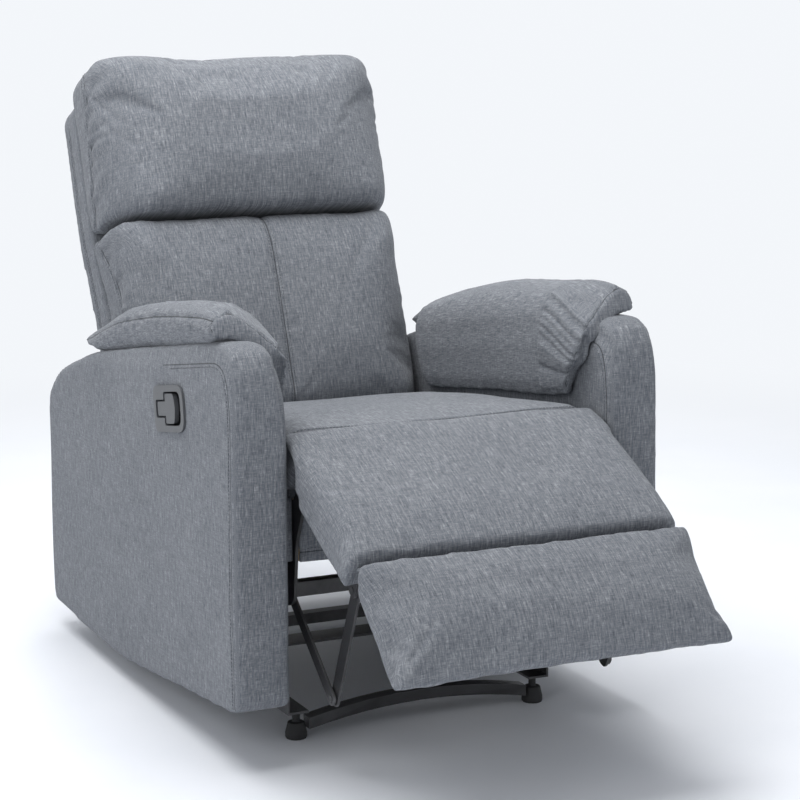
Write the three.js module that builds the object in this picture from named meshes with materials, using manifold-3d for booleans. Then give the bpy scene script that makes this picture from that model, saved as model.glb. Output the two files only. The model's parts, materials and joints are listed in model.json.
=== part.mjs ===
// A push-back recliner armchair in grey fabric, part-way open: floor base, tilting seat unit with two
// arms, reclining back, and a two-panel footrest carried by a parallel linkage on each side.
// Millimetres, +Z up. The sitter faces -Y, so the sitter's left is +X.
import * as THREE from "three";
import { mergeVertices } from "three/addons/utils/BufferGeometryUtils.js";
import Module from "manifold-3d";

const wasm = await Module();
wasm.setup();

// ---------------------------------------------------------------- driving dimensions
const OVERALL_WIDTH = 710;
const ARM_THICKNESS = 88;
const ARM_OUT = OVERALL_WIDTH / 2;
const ARM_IN = ARM_OUT - ARM_THICKNESS;
const GAP = 0.3; // between faces that touch
const BOARD = 12; // plywood of the back and the footrest panels
const ARM_PANEL = 18; // plywood on the inner side of each arm
const PLATE = 4; // pressed steel of the mechanism
const PIN_RADIUS = 5;
const HOLE_RADIUS = 5.8; // the flats of the hole still clear the pin
const SEAT_HALF_WIDTH = 262;
const BACK_HALF_WIDTH = 260; // where the back is between the arms
const BACK_TOP_HALF_WIDTH = 270;
const HEAD_HALF_WIDTH = 275;
const PANEL_HALF_WIDTH = 264;

const ARM_TOP_SLOPE = 8.8; // degrees, rising to the front
const BACK_LEAN = 21.2; // degrees from upright
const CALF_SLOPE = 26; // degrees below level
const FOOT_SLOPE = 44;

// pivots, as [y, z]
const TILT_PIVOT = [-40, 140];
const BACK_PIVOT = [285, 385];
const CALF_PIVOT = [-384, 425];
const LINK_PIVOT = [-305, 245];
const CALF_LINK_AT = [193, -43]; // along and above the calf panel's frame

// planes of the mechanism, from the middle of the chair outwards
const LINK_B_X = 222.8;
const LINK_A_X = 228.5;
const PLATE_X = 234.3;
const RAIL_X = 240;
const BACK_PLATE_X = 259;
const SEAT_HINGE_X = 262.5;
const BASE_FLANGE_X = 223.7;
const UPRIGHT_X = 228;
const CROSS_PLATE_Z = 84;
const RAIL_DEPTH = 34;

const GLIDE_X = 207;
const GLIDE_RADIUS = 17;
const GLIDE_HEIGHT = 42;
const FRONT_GLIDE_Y = -265;
const REAR_GLIDE_Y = 270;

// ---------------------------------------------------------------- materials
const paint = (color, roughness, metalness = 0) =>
  new THREE.MeshStandardMaterial({ color, roughness, metalness });
const FABRIC = paint(0x7b828b, 0.95);
const STEEL = paint(0x151617, 0.5, 0.6);
const ZINC = paint(0x9a9c9e, 0.4, 0.8);
const WOOD = paint(0xb08d5e, 0.7);
const PLASTIC = paint(0x4b4e52, 0.45);
const RUBBER = paint(0x101010, 0.85);

// ---------------------------------------------------------------- shape helpers
const chair = new THREE.Group();
const SIDES = [
  ["left", 1],
  ["right", -1],
];

function add(name, geometry, material) {
  const mesh = new THREE.Mesh(geometry, material);
  mesh.name = name;
  chair.add(mesh);
  return mesh;
}

// A shape through [x, y, radius] corners; a corner with a radius is rounded.
function roundedShape(corners) {
  const shape = new THREE.Shape();
  const count = corners.length;
  const point = (i) => new THREE.Vector2(...corners[(i + count) % count].slice(0, 2));
  for (let i = 0; i < count; i++) {
    const here = point(i);
    const radius = corners[i][2] ?? 0;
    const towards = (other) => other.clone().sub(here).setLength(radius).add(here);
    const start = radius ? towards(point(i - 1)) : here;
    if (i === 0) shape.moveTo(start.x, start.y);
    else shape.lineTo(start.x, start.y);
    if (radius) {
      const end = towards(point(i + 1));
      shape.quadraticCurveTo(here.x, here.y, end.x, end.y);
    }
  }
  return shape;
}

// An outline in the Y-Z plane, extruded from x0 to x1. Holes are [y, z, radius].
const YZ_PLANE = new THREE.Matrix4().makeBasis(
  new THREE.Vector3(0, 1, 0),
  new THREE.Vector3(0, 0, 1),
  new THREE.Vector3(1, 0, 0),
);
function extrudeX(shape, x0, x1, holes = [], curveSegments = 4) {
  for (const [y, z, radius] of holes) {
    shape.holes.push(new THREE.Path().absarc(y, z, radius, 0, 2 * Math.PI, true));
  }
  const low = Math.min(x0, x1);
  const depth = Math.abs(x1 - x0);
  return new THREE.ExtrudeGeometry(shape, { depth, bevelEnabled: false, curveSegments })
    .applyMatrix4(YZ_PLANE)
    .translate(low, 0, 0);
}
const slab = (corners, x0, x1, holes) => extrudeX(roundedShape(corners), x0, x1, holes);

// A plate on one side of the chair: x is its inner face, and side is +1 or -1.
const sidePlate = (side, corners, x, thickness, holes) =>
  slab(corners, side * x, side * (x + thickness), holes);

function rod(side, [y, z], radius, x0, x1) {
  const circle = new THREE.Shape().absarc(y, z, radius, 0, 2 * Math.PI);
  return extrudeX(circle, side * x0, side * x1, [], 6);
}

function box(x0, x1, y0, y1, z0, z1) {
  return new THREE.BoxGeometry(x1 - x0, y1 - y0, z1 - z0).translate(
    (x0 + x1) / 2,
    (y0 + y1) / 2,
    (z0 + z1) / 2,
  );
}

// A frame in the Y-Z plane: a point s along it and t across it, as [y, z].
const radians = THREE.MathUtils.degToRad;
function planeFrame([y, z], along, across) {
  return (s, t) => [y + s * along[0] + t * across[0], z + s * along[1] + t * across[1]];
}
function panelFrame(origin, slope) {
  const c = Math.cos(radians(slope));
  const s = Math.sin(radians(slope));
  return planeFrame(origin, [-c, -s], [-s, c]);
}
const inFrame = (frame, corners) =>
  corners.map(([s, t, radius = 0]) => [...frame(s, t), radius]);

function solid(geometry) {
  const bare = geometry.index ? geometry.toNonIndexed() : geometry.clone();
  bare.deleteAttribute("normal");
  bare.deleteAttribute("uv");
  const merged = mergeVertices(bare, 1e-3);
  return new wasm.Manifold(
    new wasm.Mesh({
      numProp: 3,
      vertProperties: merged.attributes.position.array,
      triVerts: new Uint32Array(merged.index.array),
    }),
  );
}
function geometryOf(manifold) {
  const { vertProperties, triVerts } = manifold.getMesh();
  return new THREE.BufferGeometry()
    .setAttribute("position", new THREE.BufferAttribute(vertProperties, 3))
    .setIndex(new THREE.BufferAttribute(triVerts, 1))
    .toNonIndexed();
}
const cut = (geometry, ...tools) =>
  geometryOf(tools.reduce((left, tool) => left.subtract(solid(tool)), solid(geometry)));
const join = (first, ...others) =>
  geometryOf(others.reduce((left, other) => left.add(solid(other)), solid(first)));

// A skin through rings of points that match one to one, closed by a cap at each end.
// The cap's outline runs anticlockwise when seen from beyond the last ring.
function loft(rings, capOutline) {
  const count = capOutline.length;
  const outline = capOutline.map(([x, y]) => new THREE.Vector2(x, y));
  const anticlockwise = !THREE.ShapeUtils.isClockWise(outline);
  const caps = THREE.ShapeUtils.triangulateShape(outline, []);
  const index = [];
  const face = (a, b, c) => index.push(...(anticlockwise ? [a, b, c] : [a, c, b]));
  for (let r = 0; r + 1 < rings.length; r++) {
    for (let i = 0; i < count; i++) {
      const a = r * count + i;
      const b = r * count + ((i + 1) % count);
      face(a, b, b + count);
      face(a, b + count, a + count);
    }
  }
  const last = (rings.length - 1) * count;
  for (const [a, b, c] of caps) {
    index.push(c, b, a, last + a, last + b, last + c);
  }
  return new THREE.BufferGeometry().setFromPoints(rings.flat()).setIndex(index);
}

// ---------------------------------------------------------------- frames
const armTopAngle = radians(ARM_TOP_SLOPE);
const ARM_FORWARD = [-Math.cos(armTopAngle), Math.sin(armTopAngle)];
const ARM_UP = [Math.sin(armTopAngle), Math.cos(armTopAngle)];
const lean = radians(BACK_LEAN);
const backAt = planeFrame(
  BACK_PIVOT,
  [Math.sin(lean), Math.cos(lean)],
  [-Math.cos(lean), Math.sin(lean)],
);
const calfAt = panelFrame(CALF_PIVOT, CALF_SLOPE);
const FOOT_PIVOT = calfAt(234, 12);
const footAt = panelFrame(FOOT_PIVOT, FOOT_SLOPE);
const CALF_LINK_PIVOT = calfAt(...CALF_LINK_AT);
const KNEE = [
  LINK_PIVOT[0] + CALF_LINK_PIVOT[0] - CALF_PIVOT[0],
  LINK_PIVOT[1] + CALF_LINK_PIVOT[1] - CALF_PIVOT[1],
];

// ---------------------------------------------------------------- floor base
function glideProfile() {
  const stem = 6;
  const corners = [
    [0, 0],
    [GLIDE_RADIUS - 1, 0],
    [GLIDE_RADIUS, 3],
    [GLIDE_RADIUS, 10],
    [GLIDE_RADIUS - 4, 26],
    [stem, 26],
    [stem, GLIDE_HEIGHT],
    [0, GLIDE_HEIGHT],
  ];
  return corners.map(([r, z]) => new THREE.Vector2(r, z));
}

function addBase() {
  for (const [name, side] of SIDES) {
    for (const [end, y] of [["front", FRONT_GLIDE_Y], ["rear", REAR_GLIDE_Y]]) {
      const glide = new THREE.LatheGeometry(glideProfile(), 16).rotateX(Math.PI / 2);
      add(`glide_${end}_${name}`, glide.translate(side * GLIDE_X, y, 0), RUBBER);
    }
    addBaseRail(name, side);
    const [ty, tz] = TILT_PIVOT;
    const upright = [
      [ty - 36, tz - 93],
      [ty + 36, tz - 93],
      [ty + 26, tz - 30, 10],
      [ty + 18, tz + 16, 12],
      [ty - 18, tz + 16, 12],
      [ty - 26, tz - 30, 10],
    ];
    const pin = rod(side, TILT_PIVOT, PIN_RADIUS, UPRIGHT_X + 1, PLATE_X + 7);
    add(`tilt_upright_${name}`, join(sidePlate(side, upright, UPRIGHT_X, PLATE), pin), STEEL);
  }
  add("base_tube_front", bowedTube(), STEEL);
  const half = GLIDE_X - GLIDE_RADIUS - GAP;
  add("base_tube_rear", box(-half, half, REAR_GLIDE_Y - 12, REAR_GLIDE_Y + 12, 18, 38), STEEL);
  const plateHalf = UPRIGHT_X - GAP;
  const crossPlate = box(-plateHalf, plateHalf, -66, -14, CROSS_PLATE_Z, CROSS_PLATE_Z + PLATE);
  add("base_cross_plate", crossPlate, STEEL);
}

// An angle iron along each side, lying on the two glides.
function addBaseRail(name, side) {
  const front = FRONT_GLIDE_Y - GLIDE_RADIUS;
  const rear = REAR_GLIDE_Y + GLIDE_RADIUS;
  const low = GLIDE_HEIGHT + GAP;
  const inner = GLIDE_X - GLIDE_RADIUS + 2;
  const outer = BASE_FLANGE_X + PLATE;
  const span = (a, b) => [Math.min(side * a, side * b), Math.max(side * a, side * b)];
  const flat = box(...span(inner, outer), front, rear, low, low + PLATE);
  const web = box(...span(BASE_FLANGE_X, outer), front, rear, low, low + RAIL_DEPTH);
  add(`base_rail_${name}`, join(flat, web), STEEL);
}

// The front tube bows up between the two front glides.
function bowedTube() {
  const half = GLIDE_X - GLIDE_RADIUS - GAP;
  const depth = 24;
  const rise = 20;
  const steps = 12;
  const line = (z) =>
    Array.from({ length: steps + 1 }, (_, i) => {
      const x = -half + (2 * half * i) / steps;
      return new THREE.Vector2(x, z + rise * (1 - (x / half) ** 2));
    });
  const shape = new THREE.Shape([...line(14), ...line(32).reverse()]);
  return new THREE.ExtrudeGeometry(shape, { depth, bevelEnabled: false })
    .rotateX(Math.PI / 2)
    .translate(0, FRONT_GLIDE_Y + depth / 2, 0);
}

// ---------------------------------------------------------------- seat unit: steel and wood
const EYE = 10;
const CABLE_HOLE = [-102, 207];

function mechanismOutline() {
  const [hy, hz] = CALF_PIVOT;
  const [ty, tz] = TILT_PIVOT;
  return [
    [215, 236, 6],
    [215, 288],
    [-200, 336],
    [-345, 394],
    [hy + 8, hz + EYE, 6],
    [hy - EYE, hz + EYE - 1, 8],
    [hy - EYE, hz - EYE, 8],
    [-352, 330, 12],
    [-341, 236, 12],
    [-318, 226, 6],
    [-135, 222, 20],
    [-122, 168, 8],
    [ty - 20, tz - 16, 10],
    [ty + 18, tz - 16, 10],
    [12, 222, 12],
  ];
}

// Each plate carries the studs that the calf panel and the lower link turn on.
function addMechanismPlates() {
  for (const [name, side] of SIDES) {
    const holes = [
      [...TILT_PIVOT, HOLE_RADIUS],
      [...CABLE_HOLE, HOLE_RADIUS],
    ];
    const plate = sidePlate(side, mechanismOutline(), PLATE_X, PLATE + 1, holes);
    const stud = (pivot) => rod(side, pivot, PIN_RADIUS, LINK_A_X - 2, PLATE_X + 1);
    add(`mechanism_plate_${name}`, join(plate, stud(CALF_PIVOT), stud(LINK_PIVOT)), STEEL);
  }
  const half = PLATE_X - GAP;
  add("torque_tube", box(-half, half, -112, -88, 178, 202), STEEL);
  add("rear_cross_tube", box(-half, half, 104, 128, 240, 264), STEEL);
}

function addSeatBox() {
  const rail = [
    [-345, 300],
    [215, 262],
    [215, 334],
    [-345, 398],
  ];
  for (const [name, side] of SIDES) {
    add(`seat_rail_${name}`, sidePlate(side, rail, RAIL_X, 22), WOOD);
    const hinge = [
      [90, 300, 8],
      [262, 318, 14],
      [BACK_PIVOT[0] + 20, BACK_PIVOT[1] - 12, 14],
      [BACK_PIVOT[0] + 8, BACK_PIVOT[1] + 18, 12],
      [BACK_PIVOT[0] - 18, BACK_PIVOT[1] + 12, 12],
      [205, 330, 12],
      [90, 336, 8],
    ];
    const plate = sidePlate(side, hinge, SEAT_HINGE_X, PLATE);
    const stud = rod(side, BACK_PIVOT, PIN_RADIUS, BACK_PLATE_X - 1, SEAT_HINGE_X + 1);
    add(`back_hinge_seat_plate_${name}`, join(plate, stud), STEEL);
  }
  const half = PLATE_X - GAP;
  add("seat_front_rail", slab([[-345, 300], [-327, 300], [-327, 392], [-345, 394]], -half, half), WOOD);
  add("seat_rear_rail", box(-half, half, 195, 215, 292, 334), WOOD);
  addSeatSprings();
  add("seat_front_valance", slab([[-352, 298], [-345.3, 298], [-345.3, 400], [-352, 402]], -half, half), FABRIC);
}

// Sinuous springs run from the front rail to the rear rail, just under the cushion.
function addSeatSprings() {
  const count = 4;
  const pitch = 108;
  const frontY = -327 + GAP;
  const rearY = 195 - GAP;
  const frontZ = 386;
  const rearZ = 326;
  const bends = 12;
  const swing = 24;
  const wire = 4;
  for (let n = 0; n < count; n++) {
    const x = (n - (count - 1) / 2) * pitch;
    const edge = (offset) =>
      Array.from({ length: bends + 1 }, (_, i) => {
        const side = i % 2 ? 1 : -1;
        const end = i === 0 || i === bends;
        const y = frontY + ((rearY - frontY) * i) / bends;
        return new THREE.Vector2(x + (end ? 0 : side * swing) + offset, y);
      });
    const shape = new THREE.Shape([...edge(wire), ...edge(-wire).reverse()]);
    const spring = new THREE.ExtrudeGeometry(shape, { depth: wire, bevelEnabled: false });
    const fall = (rearZ - frontZ) / (rearY - frontY);
    const tilt = new THREE.Matrix4().set(1, 0, 0, 0, 0, 1, 0, 0, 0, fall, 1, frontZ - fall * frontY, 0, 0, 0, 1);
    add(`seat_spring_${n + 1}`, spring.applyMatrix4(tilt), ZINC);
  }
}

// Extension springs pull the torque tube towards the rear cross tube.
function addExtensionSprings() {
  const from = new THREE.Vector3(0, -88 + GAP, 190);
  const to = new THREE.Vector3(0, 104 - GAP, 250);
  const length = from.distanceTo(to);
  const hook = 28;
  const profile = [[0, 1], [2, 1], [2, hook], [8, hook], [8, length - hook], [2, length - hook], [2, length - 1], [0, length - 1]];
  const turn = new THREE.Quaternion().setFromUnitVectors(
    new THREE.Vector3(0, 1, 0),
    to.clone().sub(from).normalize(),
  );
  for (const [name, side] of SIDES) {
    const spring = new THREE.LatheGeometry(profile.map(([r, y]) => new THREE.Vector2(r, y)), 12);
    spring.applyQuaternion(turn).translate(side * 190, from.y, from.z);
    add(`extension_spring_${name}`, spring, ZINC);
  }
}

// ---------------------------------------------------------------- arms
const ARM_OUTLINE = [
  [-400, 93, 26],
  [165, 35, 60],
  [535, 46, 14],
  [535, 430, 20],
  [466, 481, 45],
  [279, 540, 60],
  [-400, 645.5, 88],
];

// The release handle sits on the outside of the sitter's right arm.
const BEZEL_CENTRE = [-141, 507];
const bezelAt = planeFrame(BEZEL_CENTRE, ARM_FORWARD, ARM_UP);
const bezelOutline = (grow) =>
  inFrame(bezelAt, [
    [-68 - grow, -36 - grow, 16],
    [68 + grow, -36 - grow, 26],
    [68 + grow, 36 + grow, 26],
    [-68 - grow, 36 + grow, 16],
  ]);
const WELL_DEPTH = 24;
const LIP = 4;
const PADDLE_PIVOT = bezelAt(-50, 0);
// The paddle is a T that lies in an opening of its own shape, with room for the fingers before its head.
const PADDLE_OUTLINE = [
  [-52, -11, 4],
  [-17, -11],
  [-17, -23, 5],
  [22, -23, 8],
  [28, 0, 6],
  [22, 23, 8],
  [-17, 23, 5],
  [-17, 11],
  [-52, 11, 4],
];
const PADDLE_OPENING = [
  [-58, -14, 5],
  [-20, -14],
  [-20, -26, 6],
  [55, -26, 16],
  [55, 26, 16],
  [-20, 26, 6],
  [-20, 14],
  [-58, 14, 5],
];
const CABLE_Y = -125;
const CABLE_TOP = 494;
const CABLE_RADIUS = 3;

// Each arm is a plywood panel on the inner side and the padded cover over it. The cover of the right
// arm has the recess for the release handle, and a channel for the cable that leaves by the panel.
function addArms() {
  const joinX = ARM_IN + ARM_PANEL;
  for (const [name, side] of SIDES) {
    const cover = slab(ARM_OUTLINE, side * (joinX + GAP), side * ARM_OUT);
    const panel = slab(ARM_OUTLINE, side * ARM_IN, side * joinX);
    if (side > 0) {
      add(`arm_cover_${name}`, cover, FABRIC);
      add(`arm_panel_${name}`, panel, WOOD);
      continue;
    }
    const recess = slab(bezelOutline(-5), -(ARM_OUT + 1), -(ARM_OUT - WELL_DEPTH - GAP));
    const [cableY0, cableY1] = [CABLE_Y - 9, CABLE_Y + 9];
    const channel = box(-ARM_OUT + 20, -joinX + 1, cableY0, cableY1, 250, 500);
    const window = box(-joinX - 1, -ARM_IN + 1, cableY0, cableY1, 250, 268);
    add(`arm_cover_${name}`, cut(cover, recess, channel), FABRIC);
    add(`arm_panel_${name}`, cut(panel, window), WOOD);
  }
}

function addReleaseHandle() {
  const cupInset = 7; // inside the rim
  const cupFloor = 3;
  const pinRadius = 2.5;
  const pinLength = 54;
  const hubRadius = 5.5;
  const hubLength = 18;
  const pivotDepth = 7; // behind the arm's side
  const faceBehind = 4;
  const faceAhead = 3;
  const cableHalf = 4;
  const wellX = ARM_OUT - WELL_DEPTH;
  const flange = slab(bezelOutline(0), -(ARM_OUT + GAP), -(ARM_OUT + LIP));
  const cup = slab(bezelOutline(-cupInset), -wellX, -(ARM_OUT + GAP));
  const hollow = slab(inFrame(bezelAt, PADDLE_OPENING), -(wellX + cupFloor), -(ARM_OUT + LIP + 1));
  const cableHole = box(
    -wellX - cupFloor - 1,
    -wellX + 1,
    CABLE_Y - cableHalf,
    CABLE_Y + cableHalf,
    CABLE_TOP - cableHalf,
    CABLE_TOP + cableHalf,
  );
  const [py, pz] = PADDLE_PIVOT;
  const bar = (radius, length, sides) =>
    new THREE.CylinderGeometry(radius, radius, length, sides)
      .rotateX(Math.PI / 2 - armTopAngle)
      .translate(pivotDepth - ARM_OUT, py, pz);
  const bezel = cut(join(flange, cup), hollow, cableHole);
  add("handle_bezel", join(bezel, bar(pinRadius, pinLength, 10)), PLASTIC);
  const face = slab(inFrame(bezelAt, PADDLE_OUTLINE), faceBehind - ARM_OUT, -(ARM_OUT + faceAhead));
  const paddle = cut(join(face, bar(hubRadius, hubLength, 12)), bar(pinRadius + GAP, hubLength + 2, 10));
  add("release_paddle", paddle, PLASTIC);
}

// The release cable drops inside the arm and runs in under the seat to the torque tube.
function addReleaseCable() {
  const route = [
    [-326, CABLE_Y, CABLE_TOP],
    [-325, CABLE_Y, 440],
    [-325, CABLE_Y, 340],
    [-322, CABLE_Y, 272],
    [-306, CABLE_Y, 259],
    [-280, -124, 258],
    [-258, -117, 250],
    [-250, -107, 224],
    [-243, CABLE_HOLE[0], CABLE_HOLE[1] + 2],
    [-232, ...CABLE_HOLE],
    [-214, ...CABLE_HOLE],
  ].map((p) => new THREE.Vector3(...p));
  const section = new THREE.Shape().absarc(0, 0, CABLE_RADIUS, 0, 2 * Math.PI);
  const cable = new THREE.ExtrudeGeometry(section, {
    steps: 44,
    curveSegments: 4,
    bevelEnabled: false,
    extrudePath: new THREE.CatmullRomCurve3(route),
  });
  add("release_cable", cable, RUBBER);
}

// ---------------------------------------------------------------- arm pads
const PAD_INNER = 243;
const ARM_TOP_FRONT = [-344, 636];
// [distance from the chair's middle, height over the arm's top], round the pad's section
const PAD_SECTION = [
  [ARM_IN - GAP, -122],
  [252, -124],
  [PAD_INNER + 1, -100],
  [PAD_INNER - 2, -40],
  [PAD_INNER + 2, 8],
  [262, 40],
  [290, 55],
  [325, 57],
  [352, 42],
  [358, 20],
  [353, 2],
  [ARM_IN - GAP, 2],
];

// The front of the pad leads towards the inner side, and its tail rises off the arm.
const PAD_FRONT_FROM = -40;
const PAD_FRONT_LENGTH = 285;
const PAD_FRONT_LEAD = 28;
const PAD_FRONT_LEAN = 0.28;
const PAD_TAIL = 262;
const PAD_TAIL_SLOPE = 0.36;

function addArmPads() {
  // [y at the arm's top, share of the height over the arm, depth of the inner flap, its lean]
  const stations = [
    [-325, 0.78, 1.0, 0.5],
    [-290, 0.95, 1.0, 0.4],
    [-240, 1.03, 0.99, 0.3],
    [-40, 1.17, 0.93, 0.1],
    [130, 1.1, 0.91, -0.2],
    [230, 0.9, 0.88, -0.34],
    [262, 0.78, 0, 0],
    [290, 0.66, 0, 0],
    [312, 0.5, 0, 0],
  ];
  const flapPoints = PAD_SECTION.findIndex(([x]) => x > ARM_IN);
  const armTop = (y) => ARM_TOP_FRONT[1] + (ARM_TOP_FRONT[0] - y) * Math.tan(armTopAngle);
  const rest = 2; // height of the pad's underside over the arm
  for (const [name, side] of SIDES) {
    const rings = stations.map(([y, rise, flap, lean]) => {
      const underside = rest + Math.max(0, y - PAD_TAIL) * PAD_TAIL_SLOPE;
      const front = THREE.MathUtils.clamp((PAD_FRONT_FROM - y) / PAD_FRONT_LENGTH, 0, 1);
      return PAD_SECTION.map(([x, h], i) => {
        const across = flap === 0 && i < flapPoints ? ARM_IN - GAP : x;
        const inwards = Math.min(1, (ARM_OUT - x) / (ARM_OUT - PAD_INNER));
        const lead = front * PAD_FRONT_LEAD * inwards;
        if (h > rest) {
          const height = Math.max(rest + (h - rest) * rise, underside + 4);
          const at = y + height * PAD_FRONT_LEAN * front - lead;
          return new THREE.Vector3(side * across, at, armTop(at) + height);
        }
        const height = flap === 0 ? underside + (i < flapPoints ? 0.5 + i * 0.5 : 0) : rest + (h - rest) * flap;
        const at = y - height * lean - lead;
        return new THREE.Vector3(side * across, at, armTop(at) + height);
      });
    });
    const forwards = side > 0 ? rings.toReversed() : rings;
    add(`arm_pad_${name}`, loft(forwards, PAD_SECTION), FABRIC);
  }
}

// ---------------------------------------------------------------- cushions
function addSeatCushion() {
  const outline = [
    [212, 352, 12],
    [212, 434, 14],
    [-47, 470],
    [-299, 499],
    [-378, 496, 22],
    [-380, 455, 12],
    [-360, 411, 14],
  ];
  add("seat_cushion", slab(outline, -SEAT_HALF_WIDTH, SEAT_HALF_WIDTH), FABRIC);
}

const BACK_REAR = -172;
const BACK_COVER_FRONT = -113;
const BACK_BOTTOM = -20;
const CREASE = 378;
const ABOVE_ARMS = 250; // up the back, from where it can be wider than the space between the arms
const BACK_TOP = 690;

function addBack() {
  const cover = new THREE.ExtrudeGeometry(
    roundedShape([
      [-BACK_HALF_WIDTH, BACK_BOTTOM],
      [BACK_HALF_WIDTH, BACK_BOTTOM],
      [BACK_HALF_WIDTH, ABOVE_ARMS],
      [BACK_TOP_HALF_WIDTH, CREASE],
      [BACK_TOP_HALF_WIDTH, 648, 42],
      [-BACK_TOP_HALF_WIDTH, 648, 42],
      [-BACK_TOP_HALF_WIDTH, CREASE],
      [-BACK_HALF_WIDTH, ABOVE_ARMS],
    ]),
    { depth: BACK_COVER_FRONT - BACK_REAR, bevelEnabled: false, curveSegments: 5 },
  );
  add("back_cover", intoBack(cover, BACK_REAR), FABRIC);
  const boardHalf = BACK_PLATE_X - GAP;
  const boardShape = roundedShape([
    [-boardHalf, BACK_BOTTOM],
    [boardHalf, BACK_BOTTOM],
    [boardHalf, 640, 30],
    [-boardHalf, 640, 30],
  ]);
  const board = new THREE.ExtrudeGeometry(boardShape, { depth: BOARD, bevelEnabled: false });
  add("back_board", intoBack(board, BACK_COVER_FRONT + GAP), WOOD);
  addBackCushions();
  addBackPlates();
}

// Places a solid drawn as (x, s, t) into the back's leaning frame, with its rear face at t.
function intoBack(geometry, t) {
  const [uy, uz] = [Math.sin(lean), Math.cos(lean)];
  const basis = new THREE.Matrix4().makeBasis(
    new THREE.Vector3(1, 0, 0),
    new THREE.Vector3(0, uy, uz),
    new THREE.Vector3(0, -uz, uy),
  );
  return geometry
    .translate(0, 0, t)
    .applyMatrix4(basis)
    .translate(0, ...BACK_PIVOT);
}

function addBackCushions() {
  const rear = -97;
  const lumbar = inFrame(backAt, [
    [-46, rear],
    [-44, 10, 12],
    [-14, 56, 14],
    [28, 90, 16],
    [CREASE - 6, 90, 34],
    [CREASE - 2, rear],
  ]);
  const lumbarHalf = BACK_HALF_WIDTH - 3;
  add("lumbar_cushion", slab(lumbar, -lumbarHalf, lumbarHalf), FABRIC);
  const head = inFrame(backAt, [
    [CREASE + 1, rear],
    [CREASE + 2, 96, 34],
    [BACK_TOP - 10, 92, 70],
    [BACK_TOP, -30, 35],
    [BACK_TOP - 20, rear, 25],
  ]);
  add("head_cushion", slab(head, -HEAD_HALF_WIDTH, HEAD_HALF_WIDTH), FABRIC);
}

function addBackPlates() {
  const outline = inFrame(backAt, [
    [-17, 17, 12],
    [-17, -100],
    [210, -100],
    [190, -84, 10],
    [40, -40, 30],
    [17, 17, 12],
  ]);
  for (const [name, side] of SIDES) {
    add(
      `back_hinge_back_plate_${name}`,
      sidePlate(side, outline, BACK_PLATE_X, 3, [[...BACK_PIVOT, HOLE_RADIUS]]),
      STEEL,
    );
  }
}

function addRearPanel() {
  add("rear_panel", box(-ARM_IN + GAP, ARM_IN - GAP, 505, 523, 72, 300), FABRIC);
}

// ---------------------------------------------------------------- footrest
const BOARD_LOW = -8;

function addFootrest() {
  const boardTop = BOARD_LOW + BOARD;
  const boardStart = 36; // clear of the mechanism plates when the footrest is folded
  const board = inFrame(calfAt, [
    [boardStart, BOARD_LOW],
    [boardStart, boardTop],
    [218, boardTop],
    [218, BOARD_LOW],
  ]);
  add("calf_board", slab(board, -PANEL_HALF_WIDTH + 6, PANEL_HALF_WIDTH - 6), WOOD);
  const pad = inFrame(calfAt, [
    [15, boardTop + GAP],
    [15, 47, 10],
    [120, 51],
    [229, 46, 10],
    [222, 24, 10],
    [222, boardTop + GAP],
  ]);
  add("calf_pad", slab(pad, -PANEL_HALF_WIDTH, PANEL_HALF_WIDTH), FABRIC);
  const footBoard = inFrame(footAt, [
    [24, BOARD_LOW],
    [24, boardTop],
    [168, boardTop],
    [168, BOARD_LOW],
  ]);
  add("foot_board", slab(footBoard, -PANEL_HALF_WIDTH + 8, PANEL_HALF_WIDTH - 8), WOOD);
  const footPad = inFrame(footAt, [
    [24, boardTop + GAP],
    [12, 14],
    [-2, 30, 8],
    [92, 54, 20],
    [182, 48, 12],
    [195, 29, 8],
    [178, boardTop + GAP],
  ]);
  add("foot_pad", slab(footPad, -PANEL_HALF_WIDTH, PANEL_HALF_WIDTH), FABRIC);
  for (const [name, side] of SIDES) addFootrestSteel(name, side);
}

// A straight link with round ends between two pivots.
function linkOutline([ay, az], [by, bz], width) {
  const length = Math.hypot(by - ay, bz - az);
  const along = [(by - ay) / length, (bz - az) / length];
  const at = planeFrame([ay, az], along, [-along[1], along[0]]);
  const w = width / 2;
  return inFrame(at, [
    [-w, -w, w * 0.9],
    [length + w, -w, w * 0.9],
    [length + w, w, w * 0.9],
    [-w, w, w * 0.9],
  ]);
}

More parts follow.
